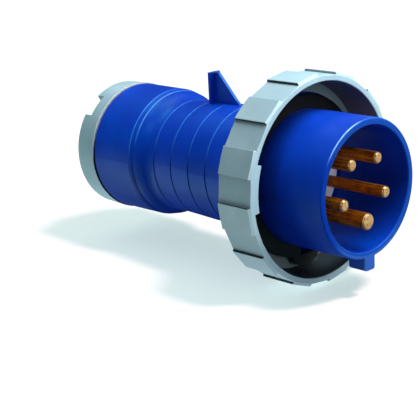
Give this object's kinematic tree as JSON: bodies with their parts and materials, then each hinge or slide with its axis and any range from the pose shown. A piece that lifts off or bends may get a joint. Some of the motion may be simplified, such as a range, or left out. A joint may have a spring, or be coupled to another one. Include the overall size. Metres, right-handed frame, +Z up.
{
  "type": "industrial pin and sleeve plug",
  "caption": "Round pin and sleeve plug: pins in a keyed tubular shroud, gasketed flange, turning bayonet ring, ringed hand grip with a fin, and a screwed cable gland.",
  "frame": {"origin": "centre of the shroud's front rim, on the plug's axis", "axes": "+X along the axis the way the pins point, +Z up through the fin, so the key and the earth pin are at the bottom, +Y to the plug's left seen from behind"},
  "size_m": [0.1491, 0.0884, 0.0884],
  "materials": {
    "blue_plastic": "satin",
    "grey_plastic": "satin",
    "carrier_plastic": "matte",
    "black_rubber": "matte",
    "brass": "bright",
    "steel": "plated",
    "black_plastic": "matte"
  },
  "bodies": {
    "plug": {"front_shell": "blue_plastic", "contact_carrier": "carrier_plastic", "pin_retainer": "carrier_plastic", "retainer_screw": "steel", "pin_line_1": "brass", "pin_line_2": "brass", "pin_line_3": "brass", "pin_neutral": "brass", "pin_earth": "brass", "terminal_screws": "steel", "flange_gasket": "black_rubber", "rear_housing": "blue_plastic", "housing_seal": "black_rubber", "lock_screw": "steel", "seal_bush": "black_rubber", "seal_bush_insert": "black_rubber", "clamp_cage": "black_plastic"},
    "ring": {"bayonet_ring": "grey_plastic"},
    "thrust": {"thrust_ring": "black_plastic"},
    "nut": {"gland_nut": "grey_plastic"}
  },
  "joints": [
    {"name": "ring_turn", "type": "hinge", "parent": "plug", "child": "ring", "pos_m": [-0.032, 0, 0], "axis": [1, 0, 0], "range_deg": [0, 40]},
    {"name": "nut_travel", "type": "slide", "parent": "plug", "child": "thrust", "axis": [-1, 0, 0], "range_m": [0, 0.006]},
    {"name": "nut_turn", "type": "hinge", "parent": "thrust", "child": "nut", "pos_m": [-0.135, 0, 0], "axis": [-1, 0, 0], "range_deg": [0, 720]}
  ],
  "couplings": [
    {"joint": "nut_travel", "follows": "nut_turn", "m_per_rad": 0.00047746}
  ]
}
